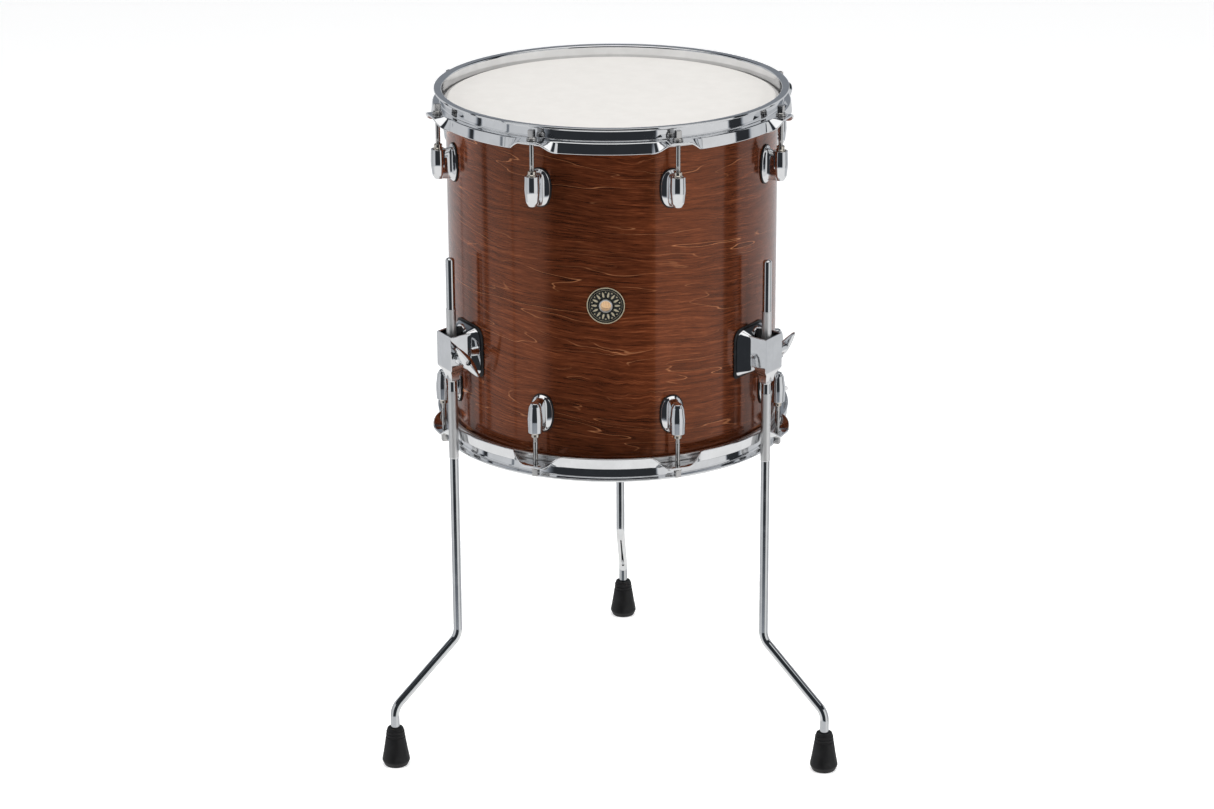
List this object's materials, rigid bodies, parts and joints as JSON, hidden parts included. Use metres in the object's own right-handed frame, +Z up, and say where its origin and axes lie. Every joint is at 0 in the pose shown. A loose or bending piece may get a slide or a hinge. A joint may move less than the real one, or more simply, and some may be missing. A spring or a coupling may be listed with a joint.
{
  "type": "tom drum",
  "caption": "Wood-shell tom drum on bent legs that slide in wing-nut clamps, with pressed flanged hoops, square-head tension rods in bullet lugs, a coated batter head and a round vent badge.",
  "frame": {"origin": "on the floor, under the middle of the drum's bounding box", "axes": "+Z up along the drum's axis, -Y towards the badge, +X to the right when facing the badge"},
  "size_m": [0.4956, 0.4828, 0.725],
  "materials": {
    "stained_wood": "gloss lacquer over a brown stain",
    "coated_film": "rough sprayed coating",
    "clear_film": "clear film",
    "flesh_hoop_metal": "plain",
    "chrome_pressed": "polished plate on pressed steel",
    "chrome_cast": "polished plate on die casting",
    "chrome_rod": "plated steel",
    "chrome_leg": "polished, knurled along its upper half",
    "gasket_rubber": "satin",
    "foot_rubber": "moulded, satin",
    "badge_enamel": "black enamel with a bright rim"
  },
  "bodies": {
    "root": {"shell": "stained_wood", "batter_head": "coated_film", "resonant_head": "clear_film", "batter_flesh_hoop": "flesh_hoop_metal", "resonant_flesh_hoop": "flesh_hoop_metal", "top_lug_1": "chrome_cast", "top_lug_2": "chrome_cast", "top_lug_3": "chrome_cast", "top_lug_4": "chrome_cast", "top_lug_5": "chrome_cast", "top_lug_6": "chrome_cast", "top_lug_7": "chrome_cast", "top_lug_8": "chrome_cast", "bottom_lug_1": "chrome_cast", "bottom_lug_2": "chrome_cast", "bottom_lug_3": "chrome_cast", "bottom_lug_4": "chrome_cast", "bottom_lug_5": "chrome_cast", "bottom_lug_6": "chrome_cast", "bottom_lug_7": "chrome_cast", "bottom_lug_8": "chrome_cast", "left_leg_bracket": "chrome_cast", "right_leg_bracket": "chrome_cast", "back_leg_bracket": "chrome_cast", "left_bracket_gasket": "gasket_rubber", "right_bracket_gasket": "gasket_rubber", "back_bracket_gasket": "gasket_rubber", "badge": "badge_enamel", "vent_grommet": "chrome_cast"},
    "top_hoop": {"top_hoop": "chrome_pressed"},
    "top_rod_1": {"top_tension_rod_1": "chrome_rod"},
    "top_rod_2": {"top_tension_rod_2": "chrome_rod"},
    "top_rod_3": {"top_tension_rod_3": "chrome_rod"},
    "top_rod_4": {"top_tension_rod_4": "chrome_rod"},
    "top_rod_5": {"top_tension_rod_5": "chrome_rod"},
    "top_rod_6": {"top_tension_rod_6": "chrome_rod"},
    "top_rod_7": {"top_tension_rod_7": "chrome_rod"},
    "top_rod_8": {"top_tension_rod_8": "chrome_rod"},
    "bottom_hoop": {"bottom_hoop": "chrome_pressed"},
    "bottom_rod_1": {"bottom_tension_rod_1": "chrome_rod"},
    "bottom_rod_2": {"bottom_tension_rod_2": "chrome_rod"},
    "bottom_rod_3": {"bottom_tension_rod_3": "chrome_rod"},
    "bottom_rod_4": {"bottom_tension_rod_4": "chrome_rod"},
    "bottom_rod_5": {"bottom_tension_rod_5": "chrome_rod"},
    "bottom_rod_6": {"bottom_tension_rod_6": "chrome_rod"},
    "bottom_rod_7": {"bottom_tension_rod_7": "chrome_rod"},
    "bottom_rod_8": {"bottom_tension_rod_8": "chrome_rod"},
    "left_leg": {"left_leg": "chrome_leg", "left_foot": "foot_rubber"},
    "left_wing": {"left_wing_nut": "chrome_cast"},
    "left_eyebolt": {"left_clamp_eyebolt": "chrome_rod"},
    "right_leg": {"right_leg": "chrome_leg", "right_foot": "foot_rubber"},
    "right_wing": {"right_wing_nut": "chrome_cast"},
    "right_eyebolt": {"right_clamp_eyebolt": "chrome_rod"},
    "back_leg": {"back_leg": "chrome_leg", "back_foot": "foot_rubber"},
    "back_wing": {"back_wing_nut": "chrome_cast"},
    "back_eyebolt": {"back_clamp_eyebolt": "chrome_rod"}
  },
  "joints": [
    {"name": "top_hoop_lift", "type": "slide", "parent": "root", "child": "top_hoop", "axis": [0, 0, 1], "range_m": [0, 0.00212]},
    {"name": "top_rod_1_turn", "type": "hinge", "parent": "top_hoop", "child": "top_rod_1", "pos_m": [0.07405, -0.22865, 0.7105], "axis": [0, 0, 1], "range_deg": [0, 721]},
    {"name": "top_rod_2_turn", "type": "hinge", "parent": "top_hoop", "child": "top_rod_2", "pos_m": [0.17877, -0.12393, 0.7105], "axis": [0, 0, 1], "range_deg": [0, 721]},
    {"name": "top_rod_3_turn", "type": "hinge", "parent": "top_hoop", "child": "top_rod_3", "pos_m": [0.17877, 0.02417, 0.7105], "axis": [0, 0, 1], "range_deg": [0, 721]},
    {"name": "top_rod_4_turn", "type": "hinge", "parent": "top_hoop", "child": "top_rod_4", "pos_m": [0.07405, 0.12889, 0.7105], "axis": [0, 0, 1], "range_deg": [0, 721]},
    {"name": "top_rod_5_turn", "type": "hinge", "parent": "top_hoop", "child": "top_rod_5", "pos_m": [-0.07405, 0.12889, 0.7105], "axis": [0, 0, 1], "range_deg": [0, 721]},
    {"name": "top_rod_6_turn", "type": "hinge", "parent": "top_hoop", "child": "top_rod_6", "pos_m": [-0.17877, 0.02417, 0.7105], "axis": [0, 0, 1], "range_deg": [0, 721]},
    {"name": "top_rod_7_turn", "type": "hinge", "parent": "top_hoop", "child": "top_rod_7", "pos_m": [-0.17877, -0.12393, 0.7105], "axis": [0, 0, 1], "range_deg": [0, 721]},
    {"name": "top_rod_8_turn", "type": "hinge", "parent": "top_hoop", "child": "top_rod_8", "pos_m": [-0.07405, -0.22865, 0.7105], "axis": [0, 0, 1], "range_deg": [0, 721]},
    {"name": "bottom_hoop_lift", "type": "slide", "parent": "root", "child": "bottom_hoop", "axis": [0, 0, -1], "range_m": [0, 0.00212]},
    {"name": "bottom_rod_1_turn", "type": "hinge", "parent": "bottom_hoop", "child": "bottom_rod_1", "pos_m": [0.07405, -0.22865, 0.3595], "axis": [0, 0, -1], "range_deg": [0, 721]},
    {"name": "bottom_rod_2_turn", "type": "hinge", "parent": "bottom_hoop", "child": "bottom_rod_2", "pos_m": [0.17877, -0.12393, 0.3595], "axis": [0, 0, -1], "range_deg": [0, 721]},
    {"name": "bottom_rod_3_turn", "type": "hinge", "parent": "bottom_hoop", "child": "bottom_rod_3", "pos_m": [0.17877, 0.02417, 0.3595], "axis": [0, 0, -1], "range_deg": [0, 721]},
    {"name": "bottom_rod_4_turn", "type": "hinge", "parent": "bottom_hoop", "child": "bottom_rod_4", "pos_m": [0.07405, 0.12889, 0.3595], "axis": [0, 0, -1], "range_deg": [0, 721]},
    {"name": "bottom_rod_5_turn", "type": "hinge", "parent": "bottom_hoop", "child": "bottom_rod_5", "pos_m": [-0.07405, 0.12889, 0.3595], "axis": [0, 0, -1], "range_deg": [0, 721]},
    {"name": "bottom_rod_6_turn", "type": "hinge", "parent": "bottom_hoop", "child": "bottom_rod_6", "pos_m": [-0.17877, 0.02417, 0.3595], "axis": [0, 0, -1], "range_deg": [0, 721]},
    {"name": "bottom_rod_7_turn", "type": "hinge", "parent": "bottom_hoop", "child": "bottom_rod_7", "pos_m": [-0.17877, -0.12393, 0.3595], "axis": [0, 0, -1], "range_deg": [0, 721]},
    {"name": "bottom_rod_8_turn", "type": "hinge", "parent": "bottom_hoop", "child": "bottom_rod_8", "pos_m": [-0.07405, -0.22865, 0.3595], "axis": [0, 0, -1], "range_deg": [0, 721]},
    {"name": "left_leg_slide", "type": "slide", "parent": "root", "child": "left_leg", "axis": [0, 0, 1], "range_m": [-0.05, 0.117]},
    {"name": "left_eyebolt_slide", "type": "slide", "parent": "root", "child": "left_eyebolt", "axis": [0.5373, -0.8434, 0], "range_m": [-0.0006, 0]},
    {"name": "left_wing_nut_turn", "type": "hinge", "parent": "root", "child": "left_wing", "pos_m": [-0.16615, -0.15573, 0.4585], "axis": [0.5373, -0.8434, 0], "range_deg": [0, 217]},
    {"name": "right_leg_slide", "type": "slide", "parent": "root", "child": "right_leg", "axis": [0, 0, 1], "range_m": [-0.05, 0.117]},
    {"name": "right_eyebolt_slide", "type": "slide", "parent": "root", "child": "right_eyebolt", "axis": [0.5373, 0.8434, 0], "range_m": [-0.0006, 0]},
    {"name": "right_wing_nut_turn", "type": "hinge", "parent": "root", "child": "right_wing", "pos_m": [0.16615, -0.15573, 0.4585], "axis": [0.5373, 0.8434, 0], "range_deg": [0, 217]},
    {"name": "back_leg_slide", "type": "slide", "parent": "root", "child": "back_leg", "axis": [0, 0, 1], "range_m": [-0.05, 0.117]},
    {"name": "back_eyebolt_slide", "type": "slide", "parent": "root", "child": "back_eyebolt", "axis": [-1, 0, 0], "range_m": [-0.0006, 0]},
    {"name": "back_wing_nut_turn", "type": "hinge", "parent": "root", "child": "back_wing", "pos_m": [0, 0.14712, 0.4585], "axis": [-1, 0, 0], "range_deg": [0, 217]}
  ],
  "couplings": [
    {"joint": "top_rod_1_turn", "follows": "top_hoop_lift", "rad_per_m": 5937.1},
    {"joint": "top_rod_2_turn", "follows": "top_hoop_lift", "rad_per_m": 5937.1},
    {"joint": "top_rod_3_turn", "follows": "top_hoop_lift", "rad_per_m": 5937.1},
    {"joint": "top_rod_4_turn", "follows": "top_hoop_lift", "rad_per_m": 5937.1},
    {"joint": "top_rod_5_turn", "follows": "top_hoop_lift", "rad_per_m": 5937.1},
    {"joint": "top_rod_6_turn", "follows": "top_hoop_lift", "rad_per_m": 5937.1},
    {"joint": "top_rod_7_turn", "follows": "top_hoop_lift", "rad_per_m": 5937.1},
    {"joint": "top_rod_8_turn", "follows": "top_hoop_lift", "rad_per_m": 5937.1},
    {"joint": "bottom_rod_1_turn", "follows": "bottom_hoop_lift", "rad_per_m": 5937.1},
    {"joint": "bottom_rod_2_turn", "follows": "bottom_hoop_lift", "rad_per_m": 5937.1},
    {"joint": "bottom_rod_3_turn", "follows": "bottom_hoop_lift", "rad_per_m": 5937.1},
    {"joint": "bottom_rod_4_turn", "follows": "bottom_hoop_lift", "rad_per_m": 5937.1},
    {"joint": "bottom_rod_5_turn", "follows": "bottom_hoop_lift", "rad_per_m": 5937.1},
    {"joint": "bottom_rod_6_turn", "follows": "bottom_hoop_lift", "rad_per_m": 5937.1},
    {"joint": "bottom_rod_7_turn", "follows": "bottom_hoop_lift", "rad_per_m": 5937.1},
    {"joint": "bottom_rod_8_turn", "follows": "bottom_hoop_lift", "rad_per_m": 5937.1},
    {"joint": "left_wing_nut_turn", "follows": "left_eyebolt_slide", "rad_per_m": -6283.2},
    {"joint": "right_wing_nut_turn", "follows": "right_eyebolt_slide", "rad_per_m": -6283.2},
    {"joint": "back_wing_nut_turn", "follows": "back_eyebolt_slide", "rad_per_m": -6283.2}
  ]
}
